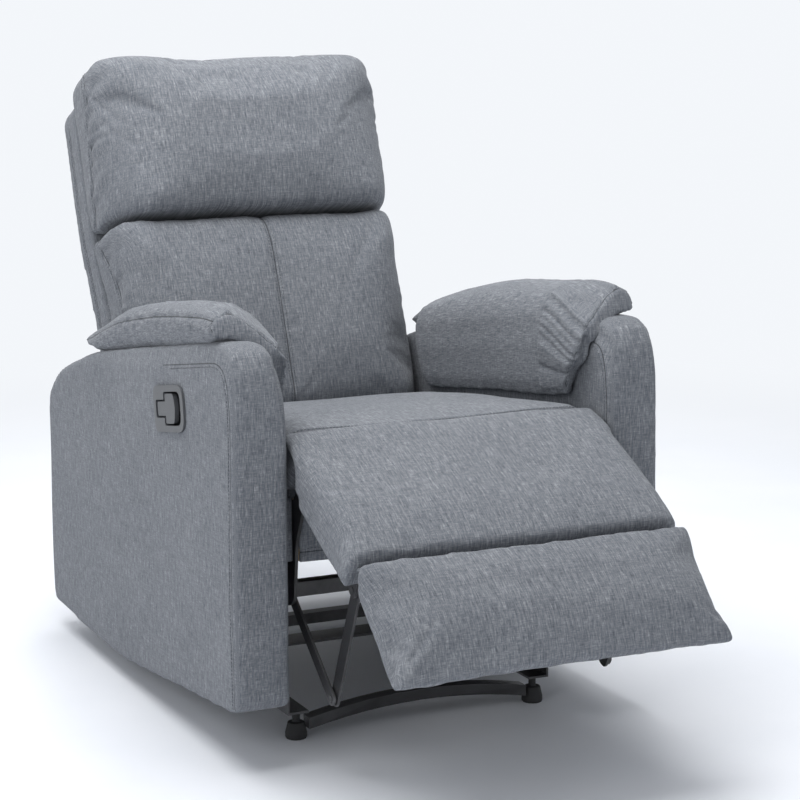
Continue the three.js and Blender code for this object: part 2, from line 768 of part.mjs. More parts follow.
function addFootrestSteel(name, side) {
  const low = BOARD_LOW - GAP;
  const [ls, lt] = CALF_LINK_AT;
  const calfBracket = inFrame(calfAt, [
    [-EYE, 9, 7],
    [EYE, 9, 7],
    [EYE + 3, low],
    [219, low],
    [224.5, 4],
    [224.5, 21, 7],
    [243.5, 21, 7],
    [243.5, 3, 7],
    [226, -22, 8],
    [ls + 12, low - 14],
    [ls + 11, lt - 10, 9],
    [ls - 11, lt - 10, 9],
    [ls - 16, low - 14],
    [20, low - 12],
    [-EYE, -9, 7],
  ]);
  const hole = (pivot) => [...pivot, HOLE_RADIUS];
  const stud = (pivot) => rod(side, pivot, PIN_RADIUS, LINK_B_X + 1, LINK_A_X + PLATE + 1);
  const holes = [CALF_PIVOT, CALF_LINK_PIVOT, FOOT_PIVOT].map(hole);
  add(`calf_bracket_${name}`, sidePlate(side, calfBracket, LINK_A_X, PLATE, holes), STEEL);
  const lower = linkOutline(LINK_PIVOT, KNEE, 20);
  const lowerHoles = [hole(LINK_PIVOT), hole(KNEE)];
  add(`link_lower_${name}`, sidePlate(side, lower, LINK_A_X, PLATE, lowerHoles), STEEL);
  const upper = sidePlate(side, linkOutline(KNEE, CALF_LINK_PIVOT, 24), LINK_B_X, PLATE);
  add(`link_upper_${name}`, join(upper, stud(KNEE), stud(CALF_LINK_PIVOT)), STEEL);
  const footOutline = inFrame(footAt, [
    [-9, 9, 7],
    [9, 9, 7],
    [12, low],
    [160, low],
    [160, low - 11],
    [16, low - 11, 8],
    [-9, -9, 7],
  ]);
  const footPlate = sidePlate(side, footOutline, LINK_B_X, PLATE);
  add(`foot_bracket_${name}`, join(footPlate, stud(FOOT_PIVOT)), STEEL);
}

// ---------------------------------------------------------------- assembly
addBase();
addMechanismPlates();
addSeatBox();
addExtensionSprings();
addArms();
addReleaseHandle();
addReleaseCable();
addArmPads();
addSeatCushion();
addBack();
addRearPanel();
addFootrest();

// The origin is on the floor, under the middle of the chair's own length and width.
const extent = new THREE.Box3().setFromObject(chair);
chair.position.y = -(extent.min.y + extent.max.y) / 2;

export default chair;
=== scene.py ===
import json
import math

import bmesh
import bpy
import numpy as np
from mathutils import Matrix, Vector, noise
from mathutils.bvhtree import BVHTree


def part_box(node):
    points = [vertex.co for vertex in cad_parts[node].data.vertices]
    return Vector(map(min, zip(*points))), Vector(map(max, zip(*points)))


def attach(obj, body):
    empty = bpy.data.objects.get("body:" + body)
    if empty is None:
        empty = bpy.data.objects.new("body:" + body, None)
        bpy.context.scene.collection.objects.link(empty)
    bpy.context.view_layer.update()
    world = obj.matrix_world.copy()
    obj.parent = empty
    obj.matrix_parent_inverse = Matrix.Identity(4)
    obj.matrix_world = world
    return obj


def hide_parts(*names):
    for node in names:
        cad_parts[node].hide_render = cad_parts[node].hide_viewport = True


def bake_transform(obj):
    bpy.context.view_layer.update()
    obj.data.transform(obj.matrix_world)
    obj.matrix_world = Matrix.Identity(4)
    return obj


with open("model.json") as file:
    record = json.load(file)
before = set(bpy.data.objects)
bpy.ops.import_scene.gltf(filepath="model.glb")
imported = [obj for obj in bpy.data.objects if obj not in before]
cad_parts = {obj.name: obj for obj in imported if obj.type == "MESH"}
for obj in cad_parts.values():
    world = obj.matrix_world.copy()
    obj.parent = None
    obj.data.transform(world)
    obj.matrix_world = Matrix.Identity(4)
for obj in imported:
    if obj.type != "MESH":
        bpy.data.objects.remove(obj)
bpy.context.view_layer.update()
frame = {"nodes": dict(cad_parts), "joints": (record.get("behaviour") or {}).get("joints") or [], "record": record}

# A fabric push-back recliner, part-way open. Metres, +Z up, the sitter faces -Y, so +X is the sitter's left.
# Outlines given in millimetres are turned into metres by MM.
MM = 0.001
SIDES = (("left", 1), ("right", -1))

# ---------------------------------------------------------------- places taken from the CAD frame
JOINT_AT = {joint["name"]: joint["pos_m"] for joint in frame["joints"]}
ARM_LOW, ARM_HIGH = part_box("arm_cover_left")
ARM_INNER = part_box("arm_panel_left")[0].x
ARM_OUTER = ARM_HIGH.x
ARM_FRONT = ARM_LOW.y
ARM_THICK = ARM_OUTER - ARM_INNER
ARM_MIDDLE = (ARM_INNER + ARM_OUTER) / 2
SEAT_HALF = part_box("seat_cushion")[1].x
PANEL_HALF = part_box("calf_pad")[1].x
HEAD_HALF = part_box("head_cushion")[1].x
LUMBAR_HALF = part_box("lumbar_cushion")[1].x
CREASE = 0.378  # up the back, between the head and lumbar cushions
HEAD_TOP = 0.690  # up the back
CALF_END = 0.226  # along the calf pad, at the fold
FOOT_END = 0.190  # along the foot pad
ARM_CORNER = 0.088  # cut of the arm's outline between its front and its top
BACK_LEAN = math.radians(21.2)
CALF_SLOPE = math.radians(26)
FOOT_SLOPE = math.radians(44)
ARM_SLOPE = math.radians(8.8)


class SideFrame:
    """A frame in the Y-Z plane: s runs along it and t across it, both in metres."""

    def __init__(self, origin, along, across):
        self.origin = np.array(origin, float)
        self.along = np.array(along, float)
        self.across = np.array(across, float)

    def local(self, co):
        offset = co[:, 1:3] - self.origin
        return offset @ self.along, offset @ self.across

    def world(self, x, s, t):
        x, s, t = np.broadcast_arrays(x, s, t)
        yz = self.origin + s[..., None] * self.along + t[..., None] * self.across
        return np.concatenate([x[..., None], yz], axis=-1)

    def read(self, obj):
        """x, s and t of each of the object's points."""
        co = coords(obj)
        return (co[:, 0], *self.local(co))

    def write(self, obj, x, s, t):
        move_to(obj, self.world(x, s, t))

    def direction(self, s, t):
        return Vector((0, *(s * self.along + t * self.across)))


def panel_frame(joint, slope):
    c, s = math.cos(slope), math.sin(slope)
    return SideFrame(JOINT_AT[joint][1:], (-c, -s), (-s, c))


BACK = SideFrame(
    JOINT_AT["back_recline"][1:],
    (math.sin(BACK_LEAN), math.cos(BACK_LEAN)),
    (-math.cos(BACK_LEAN), math.sin(BACK_LEAN)),
)
CALF = panel_frame("footrest", CALF_SLOPE)
FOOT = panel_frame("foot_fold", FOOT_SLOPE)
LEVEL = SideFrame((ARM_FRONT, 0), (1, 0), (0, 1))  # s runs back from the arms' front, t is height


# ---------------------------------------------------------------- mesh helpers
def link(obj):
    bpy.context.scene.collection.objects.link(obj)
    return obj


def mesh_object(name, points, faces):
    mesh = bpy.data.meshes.new(name)
    mesh.from_pydata([tuple(p) for p in points], [], faces)
    mesh.update()
    return link(bpy.data.objects.new(name, mesh))


def coords(obj):
    co = np.zeros(len(obj.data.vertices) * 3, np.float32)
    obj.data.vertices.foreach_get("co", co)
    return co.reshape(-1, 3).astype(float)


def normals(obj):
    out = np.zeros(len(obj.data.vertices) * 3, np.float32)
    obj.data.vertices.foreach_get("normal", out)
    return out.reshape(-1, 3).astype(float)


def move_to(obj, co):
    obj.data.vertices.foreach_set("co", co.astype(np.float32).ravel())
    obj.data.update()


def settle(obj):
    """Applies the object's modifiers to its mesh."""
    graph = bpy.context.evaluated_depsgraph_get()
    mesh = bpy.data.meshes.new_from_object(obj.evaluated_get(graph))
    obj.modifiers.clear()
    obj.data = mesh


def modify(obj, kind, **settings):
    modifier = obj.modifiers.new(kind.lower(), kind)
    for key, value in settings.items():
        setattr(modifier, key, value)
    return modifier


def remesh(obj, voxel):
    modify(obj, "REMESH", mode="VOXEL", voxel_size=voxel, use_smooth_shade=True)
    settle(obj)


def smooth(obj, times, factor=0.5):
    modify(obj, "SMOOTH", iterations=times, factor=factor)
    settle(obj)


def subdivide(obj):
    modify(obj, "SUBSURF", levels=1, render_levels=1)
    settle(obj)


def shade_smooth(obj):
    obj.data.polygons.foreach_set("use_smooth", [True] * len(obj.data.polygons))


def cad_copy(name, *nodes):
    """A new object with the shapes of the CAD nodes' simple solids."""
    mesh = bpy.data.meshes.new(name)
    joined = bmesh.new()
    for each in nodes:
        joined.from_mesh(frame["nodes"][each].data)
    joined.to_mesh(mesh)
    joined.free()
    mesh.materials.clear()
    return link(bpy.data.objects.new(name, mesh))


def rounded(corners, steps=6):
    """Points round an outline of (a, b, cut) corners, where cut is the length that the round takes off."""
    points = []
    corners = [(*c, 0)[:3] for c in corners]
    for i, (a, b, cut) in enumerate(corners):
        here = np.array((a, b), float)
        if not cut:
            points.append(here)
            continue
        before = np.array(corners[i - 1][:2], float) - here
        after = np.array(corners[(i + 1) % len(corners)][:2], float) - here
        start = here + before / np.linalg.norm(before) * cut
        end = here + after / np.linalg.norm(after) * cut
        for u in np.linspace(0, 1, steps):
            points.append((1 - u) ** 2 * start + 2 * u * (1 - u) * here + u * u * end)
    return np.array(points)


def prism(name, place, outline, low, high):
    """A solid with the outline's (a, b) section from low to high; place(a, b, c) gives the points."""
    count = len(outline)
    ends = [place(outline[:, 0], outline[:, 1], np.full(count, c)) for c in (low, high)]
    faces = [tuple(range(count))[::-1], tuple(range(count, 2 * count))]
    for i in range(count):
        j = (i + 1) % count
        faces.append((i, j, j + count, i + count))
    obj = mesh_object(name, np.concatenate(ends), faces)
    facing = bmesh.new()
    facing.from_mesh(obj.data)
    bmesh.ops.recalc_face_normals(facing, faces=facing.faces)
    facing.to_mesh(obj.data)
    facing.free()
    return obj


def ramp(value, low, high):
    u = np.clip((value - low) / (high - low), 0, 1)
    return u * u * (3 - 2 * u)


def rough(at, pitch, seed):
    """A smooth random wave along a line, from about -1 to 1, with one knot in each pitch."""
    knots = np.random.default_rng(seed).uniform(-1, 1, 4096)
    place = np.asarray(at) / pitch + 2048
    low = np.floor(place).astype(int)
    u = place - low
    u = u * u * (3 - 2 * u)
    return knots[low] * (1 - u) + knots[low + 1] * u


def lumps(co, size, seed):
    """Smooth unevenness over a surface, from about -1 to 1."""
    shift = Vector((seed * 7.31, seed * 3.17, seed * 5.53))
    return np.array([noise.noise(Vector(p) / size + shift) for p in co])


# ---------------------------------------------------------------- upholstery
CLOTH_FRAMES = 20
PRESSURE = 4.0


def inflate(obj, held, cap, pressure=PRESSURE):
    """Blows the closed mesh up as cloth. held is each point's hold, from 0 to 1. No point moves past cap."""
    start = coords(obj)
    group = obj.vertex_groups.new(name="held")
    for i in np.nonzero(held > 0.02)[0]:
        group.add([int(i)], float(held[i]), "REPLACE")
    cloth = modify(obj, "CLOTH")
    cloth.settings.use_pressure = True
    cloth.settings.uniform_pressure_force = pressure
    cloth.settings.quality = 5
    cloth.settings.vertex_group_mass = "held"
    cloth.settings.effector_weights.gravity = 0
    cloth.collision_settings.use_collision = False
    cloth.point_cache.frame_start = 1
    cloth.point_cache.frame_end = CLOTH_FRAMES
    scene = bpy.context.scene
    for step in range(1, CLOTH_FRAMES + 1):
        scene.frame_set(step)
    settle(obj)
    scene.frame_set(1)
    moved = coords(obj) - start
    length = np.linalg.norm(moved, axis=1)
    move_to(obj, start + moved * np.minimum(1, cap / np.maximum(length, 1e-9))[:, None])
    obj.vertex_groups.clear()


def swell(obj, *layers, share=1.0):
    """Makes the surface uneven. Each layer is the size of its lumps, their height and a seed."""
    co = coords(obj)
    out = sum(lumps(co, size, seed) * height for size, height, seed in layers)
    move_to(obj, co + normals(obj) * (out * share)[:, None])


def sew(obj, distance, along, depth=0.0022, width=0.0035, gather=0.0, reach=0.03, pitch=0.02, seed=1, side=0):
    """Sinks a seam where distance is 0 and gathers the cloth beside it, on both sides or on side only."""
    co, n = coords(obj), normals(obj)
    sunk = -depth * np.exp(-((distance / width) ** 2))
    if gather:
        fold = rough(along - 0.4 * distance, pitch, seed) + 0.5 * rough(along, pitch / 2.1, seed + 1)
        fade = np.exp(-((np.abs(distance) / reach) ** 1.3)) * ramp(np.abs(distance), 0, 0.004)
        keep = 1 if not side else (np.sign(distance) == side)
        sunk = sunk + gather * fold * fade * keep
    move_to(obj, co + n * sunk[:, None])


def mark(obj, **fields):
    """Stores a value for each point, for the materials to read."""
    for name, values in fields.items():
        kind = "FLOAT_VECTOR" if np.ndim(values) == 2 else "FLOAT"
        attribute = obj.data.attributes.new(name, kind, "POINT")
        key = "vector" if kind == "FLOAT_VECTOR" else "value"
        attribute.data.foreach_set(key, np.asarray(values, np.float32).ravel())


def nearest_seam(*distances):
    """The signed distance to whichever seam is nearest."""
    stack = np.stack(distances)
    return np.take_along_axis(stack, np.abs(stack).argmin(0)[None], 0)[0]


def profile(at, depth, bins=90):
    """How far out the middle of a surface is, as a function of the place along it."""
    edges = np.linspace(at.min(), at.max(), bins + 1)
    index = np.clip(np.digitize(at, edges) - 1, 0, bins - 1)
    top = np.full(bins, -np.inf)
    np.maximum.at(top, index, depth)
    known = np.isfinite(top)
    middle = (edges[:-1] + edges[1:]) / 2
    return np.interp(at, middle[known], top[known])


def lay_weave(obj, across, down, panel=0.0):
    """Stores the cloth's own coordinates: across the threads and down them."""
    mark(obj, weave=np.stack([across, down, np.broadcast_to(panel, across.shape)], axis=1))


def wrapped(x, s, t, half, end=9.0):
    """Cloth coordinates for a face that looks along t, wraps round to the sides, and rolls over its end."""
    behind = np.maximum(0, profile(s, t) - t)
    over = ramp(s, end - 0.06, end - 0.01)
    beside = ramp(np.abs(x), half - 0.05, half - 0.02) * (1 - over)
    return x + np.sign(x) * behind * beside, s + behind * over


def boxed(obj, place):
    """Cloth coordinates for a box-like cover, from the face of the box that each point lies on."""
    co, n = coords(obj), normals(obj)
    s, t = place.local(co)
    side = np.abs(n[:, 0])
    along, across = np.abs(n[:, 1:3] @ place.along), np.abs(n[:, 1:3] @ place.across)
    on_side = side > np.maximum(along, across)
    on_end = ~on_side & (along > across)
    panel = np.where(on_side, 3.0, np.where(on_end, 5.0, 0.0))
    return np.where(on_side, t, co[:, 0]), np.where(on_end, t, s), panel


def upholstered(obj, body, nodes):
    """Finishes a cover: its cloth, the nodes it replaces, and the body it moves with."""
    shade_smooth(obj)
    obj.data.materials.clear()
    obj.data.materials.append(FABRIC)
    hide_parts(*nodes)
    if body:
        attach(obj, body)


STITCH_LENGTH = 0.0042
STITCH_PITCH = 0.0058
STITCH_RADIUS = 0.00055
STITCH_DROP = 0.08  # how far from the surface a row may be given


def topstitch(name, obj, lines, look, body):
    """Rows of stitches lying on obj. Each line is an array of points, dropped on the surface along look."""
    mesh = obj.data
    points = coords(obj)
    tree = BVHTree.FromPolygons([tuple(p) for p in points], [tuple(f.vertices) for f in mesh.polygons])
    look = Vector(look).normalized()
    verts, faces = [], []
    for line in lines:
        step = np.linalg.norm(np.diff(line, axis=0), axis=1)
        run = np.concatenate([[0], np.cumsum(step)])
        for place in np.arange(STITCH_PITCH / 2, run[-1], STITCH_PITCH):
            ends = []
            for d in (-STITCH_LENGTH / 2, STITCH_LENGTH / 2):
                at = Vector([np.interp(place + d, run, line[:, k]) for k in range(3)])
                ends.append(tree.ray_cast(at - look * STITCH_DROP, look, 2 * STITCH_DROP)[:2])
            (a, na), (b, nb) = ends
            if a is None or b is None or (b - a).length > 2 * STITCH_LENGTH:
                continue
            add_stitch(verts, faces, a, b, (na + nb).normalized())
    if not faces:
        return
    stitches = mesh_object(name, verts, faces)
    shade_smooth(stitches)
    stitches.data.materials.append(THREAD)
    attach(stitches, body)


def add_stitch(verts, faces, a, b, normal):
    """One thread from a to b: four-sided, thin at its ends, and proud of the cloth in its middle."""
    along = (b - a).normalized()
    side = along.cross(normal).normalized()
    first = len(verts)
    for share, size in ((0, 0.35), (0.3, 1), (0.7, 1), (1, 0.35)):
        centre = a.lerp(b, share) + normal * STITCH_RADIUS * (0.1 + 0.7 * (size > 0.5))
        for u, v in ((1, 0), (0, 1), (-1, 0), (0, -1)):
            verts.append(centre + (side * u + normal * v) * STITCH_RADIUS * size)
    for ring in range(3):
        for i in range(4):
            p = first + ring * 4 + i
            q = first + ring * 4 + (i + 1) % 4
            faces.append((p, q, q + 4, p + 4))
    faces.append((first + 3, first + 2, first + 1, first))
    faces.append(tuple(range(first + 12, first + 16)))


# ---------------------------------------------------------------- materials
def node(tree, kind, inputs=None, **settings):
    made = tree.nodes.new(kind)
    for key, value in settings.items():
        setattr(made, key, value)
    for key, value in (inputs or {}).items():
        if isinstance(value, bpy.types.NodeSocket):
            tree.links.new(value, made.inputs[key])
        else:
            made.inputs[key].default_value = value
    return made


def surface(name, **values):
    """A new material with its shader's constant values set."""
    material = bpy.data.materials.new(name)
    material.use_nodes = True
    shader = material.node_tree.nodes["Principled BSDF"]
    for key, value in values.items():
        shader.inputs[key.replace("_", " ")].default_value = value
    return material, material.node_tree, shader


def maths(tree, operation, a, b=0.0, c=0.0, clamp=False):
    return node(tree, "ShaderNodeMath", {0: a, 1: b, 2: c}, operation=operation, use_clamp=clamp).outputs[0]


def scaled_noise(tree, vector, scale, detail=2.0, roughness=0.5):
    """Noise on the vector multiplied by scale, from 0 to 1."""
    if isinstance(scale, tuple):
        vector = node(tree, "ShaderNodeVectorMath", {0: vector, 1: scale}, operation="MULTIPLY").outputs[0]
        scale = 1.0
    values = {"Vector": vector, "Scale": scale, "Detail": detail, "Roughness": roughness}
    return node(tree, "ShaderNodeTexNoise", values).outputs["Fac"]


def colour_ramp(tree, factor, stops):
    made = node(tree, "ShaderNodeValToRGB", {"Fac": factor})
    elements = made.color_ramp.elements
    while len(elements) < len(stops):
        elements.new(0.5)
    for element, (place, colour) in zip(elements, stops):
        element.position = place
        element.color = (*colour, 1)
    return made.outputs["Color"]


def bump(tree, height, strength, distance, normal=None):
    values = {"Height": height, "Strength": strength, "Distance": distance}
    if normal is not None:
        values["Normal"] = normal
    return node(tree, "ShaderNodeBump", values).outputs["Normal"]


def fabric_material():
    """Heathered linen-look polyester: dark and pale slubs along the warp, finer ones across it."""
    material, tree, shader = surface(
        "grey_linen", Roughness=0.94, Specular_IOR_Level=0.18, Sheen_Weight=0.07, Sheen_Roughness=0.5
    )
    weave = node(tree, "ShaderNodeAttribute", attribute_name="weave").outputs["Vector"]
    seam = node(tree, "ShaderNodeAttribute", attribute_name="seam").outputs["Fac"]
    layers = (
        (scaled_noise(tree, weave, (1000, 90, 1), 2.0, 0.6), 0.62),
        (scaled_noise(tree, weave, (330, 32, 1), 2.0, 0.6), 0.46),
        (scaled_noise(tree, weave, (95, 1000, 1), 1.0, 0.6), 0.38),
        (scaled_noise(tree, weave, (26, 320, 1), 1.0), 0.15),
        (scaled_noise(tree, weave, (9, 7, 1), 3.0), 0.10),
    )
    total = 0.5
    for layer, weight in layers:
        total = maths(tree, "MULTIPLY_ADD", layer, weight, maths(tree, "SUBTRACT", total, weight / 2))
    colour = colour_ramp(
        tree,
        total,
        [
            (0.24, (0.068, 0.076, 0.091)),
            (0.43, (0.130, 0.140, 0.158)),
            (0.57, (0.193, 0.204, 0.222)),
            (0.76, (0.335, 0.346, 0.362)),
        ],
    )
    # Painted shade: the cloth's colour is darkened to 0.38 along each seam and returns to full by 1.6 mm from it,
    # for the shade in the seam's groove.
    near = maths(tree, "ABSOLUTE", seam)
    line = node(
        tree,
        "ShaderNodeMapRange",
        {"Value": near, "From Min": 0.0004, "From Max": 0.0016, "To Min": 0.38, "To Max": 1.0},
        interpolation_type="SMOOTHSTEP",
    ).outputs[0]
    seam_shaded = node(tree, "ShaderNodeVectorMath", {0: colour, 1: line}, operation="MULTIPLY").outputs[0]
    tree.links.new(seam_shaded, shader.inputs["Base Color"])
    slubs = bump(tree, total, 0.55, 0.0007)
    threads = scaled_noise(tree, weave, (1500, 1100, 1), 1.0)
    tree.links.new(bump(tree, threads, 0.35, 0.0003, slubs), shader.inputs["Normal"])
    return material


def thread_material():
    material, tree, shader = surface("thread", Roughness=0.7, Sheen_Weight=0.2)
    place = node(tree, "ShaderNodeTexCoord").outputs["Object"]
    twist = scaled_noise(tree, place, 900.0)
    colour = colour_ramp(tree, twist, [(0.3, (0.028, 0.033, 0.042)), (0.7, (0.085, 0.092, 0.105))])
    tree.links.new(colour, shader.inputs["Base Color"])
    tree.links.new(bump(tree, twist, 0.4, 0.0003), shader.inputs["Normal"])
    return material


def hard_material(name, dark, pale, roughness, metallic, grain, bumpiness, worn=0.0):
    """Painted, plated or moulded surface: mottled colour and roughness, fine grain, and paler worn edges."""
    material, tree, shader = surface(name, Metallic=metallic)
    place = node(tree, "ShaderNodeTexCoord").outputs["Object"]
    mottle = scaled_noise(tree, place, 22.0, 4.0, 0.6)
    fine = scaled_noise(tree, place, grain, 2.0)
    colour = colour_ramp(tree, mottle, [(0.3, dark), (0.7, pale)])
    if worn:
        edge = node(tree, "ShaderNodeNewGeometry").outputs["Pointiness"]
        rub = maths(tree, "MULTIPLY", maths(tree, "SUBTRACT", edge, 0.52, clamp=True), 14.0, clamp=True)
        patch = maths(tree, "MULTIPLY", rub, maths(tree, "MULTIPLY", mottle, worn), clamp=True)
        colour = node(
            tree, "ShaderNodeMix", {"Factor": patch, 6: colour, 7: (0.35, 0.35, 0.36, 1)}, data_type="RGBA"
        ).outputs[2]
    tree.links.new(colour, shader.inputs["Base Color"])
    gloss = maths(tree, "MULTIPLY_ADD", mottle, 0.16, roughness - 0.08)
    tree.links.new(gloss, shader.inputs["Roughness"])
    tree.links.new(bump(tree, fine, bumpiness, 0.0004), shader.inputs["Normal"])
    return material


def plywood_material():
    """Birch plywood: long grain on the faces, plies showing at the edges."""
    material, tree, shader = surface("birch_plywood", Roughness=0.62)
    place = node(tree, "ShaderNodeTexCoord").outputs["Object"]
    grain = scaled_noise(tree, place, (6, 90, 160), 4.0, 0.6)
    pores = scaled_noise(tree, place, (60, 900, 900), 2.0)
    total = maths(tree, "MULTIPLY_ADD", pores, 0.3, maths(tree, "MULTIPLY", grain, 0.8))
    colour = colour_ramp(
        tree, total, [(0.3, (0.23, 0.14, 0.07)), (0.52, (0.45, 0.31, 0.17)), (0.75, (0.60, 0.45, 0.27))]
    )
    tree.links.new(colour, shader.inputs["Base Color"])
    tree.links.new(bump(tree, total, 0.3, 0.0005), shader.inputs["Normal"])
    return material


FABRIC = fabric_material()
THREAD = thread_material()
STEEL = hard_material(
    "black_powder_coat", (0.010, 0.010, 0.011), (0.020, 0.020, 0.022), 0.38, 0.0, 1400, 0.25, worn=0.5
)
ZINC = hard_material("spring_zinc", (0.30, 0.31, 0.33), (0.52, 0.53, 0.55), 0.34, 0.9, 700, 0.15, worn=0.3)
PLASTIC = hard_material("satin_plastic", (0.060, 0.064, 0.070), (0.080, 0.084, 0.090), 0.42, 0.0, 2600, 0.18)
RUBBER = hard_material("glide_rubber", (0.011, 0.011, 0.012), (0.022, 0.022, 0.023), 0.75, 0.0, 900, 0.3)
SLEEVE = hard_material("cable_sleeve", (0.012, 0.012, 0.013), (0.022, 0.022, 0.024), 0.5, 0.0, 1800, 0.2)
WOOD = plywood_material()


# ---------------------------------------------------------------- back cushions
def pull_in_sides(x, t, half, radius, seam_at, power):
    """Rounds the front face over to the seam on each side, and leaves what is behind the seam."""
    u = np.clip((np.abs(x) - (half - radius)) / radius, 0, 1)
    return np.where(t > seam_at, seam_at + (t - seam_at) * (1 - u ** power) ** (1 / power), t)


def round_sides(x, t, half, radius, base, keep, power=2.2):
    """Rounds a pad's top over to its sides, where it keeps only a share of its height above base."""
    u = np.clip((np.abs(x) - (half - radius)) / radius, 0, 1)
    return np.where(t > base, base + (t - base) * (keep + (1 - keep) * np.sqrt(1 - u ** power)), t)


def round_corner(x, s, half, end, radius):
    """Pulls points past a corner's round back to it: the corner is at |x| = half and s = end."""
    a = np.maximum(0, np.abs(x) - (half - radius))
    b = np.maximum(0, s - (end - radius))
    length = (a ** 2 + b ** 2) ** 0.5
    past = length > radius
    k = np.where(past, radius / np.maximum(length, 1e-9), 1)
    new_x = np.where(past, np.sign(x) * (half - radius + a * k), x)
    return new_x, np.where(past & (b > 0), (end - radius) + b * k, s)


def head_seam(s):
    """Depth of the seam on the side of the head cushion, at a height up the back."""
    knots = np.array([[372, -84], [416, -56], [515, -26], [618, -12], [660, -18], [705, -60]]) * MM
    return np.interp(s, knots[:, 0], knots[:, 1])


def edge_distance(x, t, half, seam_at):
    """Distance over the surface from the seam on the side: above 0 on the front face."""
    return np.sign(t - seam_at) * np.hypot(np.maximum(0, half - np.abs(x)), t - seam_at)


def corner_lift(x, s, height):
    """How far the fold between the two cushions climbs towards the sides."""
    return height * ramp(np.abs(x), 0.20, 0.27) * (1 - ramp(np.abs(s - CREASE), 0.02, 0.07))


def on_frame(t):
    """1 on the face of a back cushion that lies on the back's frame."""
    return 1 - ramp(t, -0.096, -0.085)


def make_head():
    obj = cad_copy("head_cushion_soft", "head_cushion")
    remesh(obj, 0.007)
    x, s, t = BACK.read(obj)
    x, s = round_corner(x, s, HEAD_HALF, HEAD_TOP, 0.046)
    t = pull_in_sides(x, t, HEAD_HALF, 0.085, head_seam(s), power=2.2)
    s = s - ramp(s, 0.600, HEAD_TOP) * 0.004 * np.exp(-(((x + 0.06) / 0.07) ** 2))
    s = s + corner_lift(x, s, 0.009)
    x = x * np.where(t < head_seam(s) - 0.004, 0.99, 1)
    BACK.write(obj, x, s, t)
    remesh(obj, 0.006)
    smooth(obj, 9)
    x, s, t = BACK.read(obj)
    seam = edge_distance(x, t, HEAD_HALF - 0.002, head_seam(s))
    low = s - CREASE - corner_lift(x, s, 0.009)
    held = np.maximum(np.exp(-((seam / 0.008) ** 2)) * 0.95, on_frame(t))
    inflate(obj, np.maximum(held, 1 - ramp(low, 0.004, 0.030)), cap=0.018)
    subdivide(obj)
    x, s, t = BACK.read(obj)
    distance = edge_distance(x, t, HEAD_HALF - 0.002, head_seam(s))
    sew(obj, distance, s, depth=0.0035, gather=0.0062, reach=0.045, pitch=0.021, seed=11, side=1)
    sew(obj, distance, s, depth=0, gather=0.0014, seed=15, side=-1)
    sew(obj, s - CREASE, x, depth=0.001, gather=0.0020, reach=0.022, pitch=0.03, seed=21)
    swell(obj, (0.13, 0.0028, 3), (0.05, 0.0007, 4))
    gusset = distance < 0
    front = (*wrapped(*BACK.read(obj), HEAD_HALF, HEAD_TOP), 0.0)
    lay_weave(obj, *(np.where(gusset, b, f) for b, f in zip(boxed(obj, BACK), front)))
    mark(obj, seam=distance)
    upholstered(obj, "back", ["head_cushion"])
    up = np.linspace(0.385, 0.675, 60)
    for name, sign in SIDES:
        line = BACK.world(sign * HEAD_HALF, up, head_seam(up) - 0.0045)
        topstitch(f"head_stitches_{name}", obj, [line], (-sign, 0, 0), "back")


def lumbar_seam(s):
    knots = np.array([[-46, -40], [60, -20], [235, -14], [300, -26], [350, -56], [385, -90]]) * MM
    return np.interp(s, knots[:, 0], knots[:, 1])


def lumbar_half(s):
    """The lumbar cushion swells over the arms towards its top."""
    return LUMBAR_HALF * (1 + 0.008 * ramp(s, 0.05, 0.17) + 0.050 * ramp(s, 0.24, 0.37))


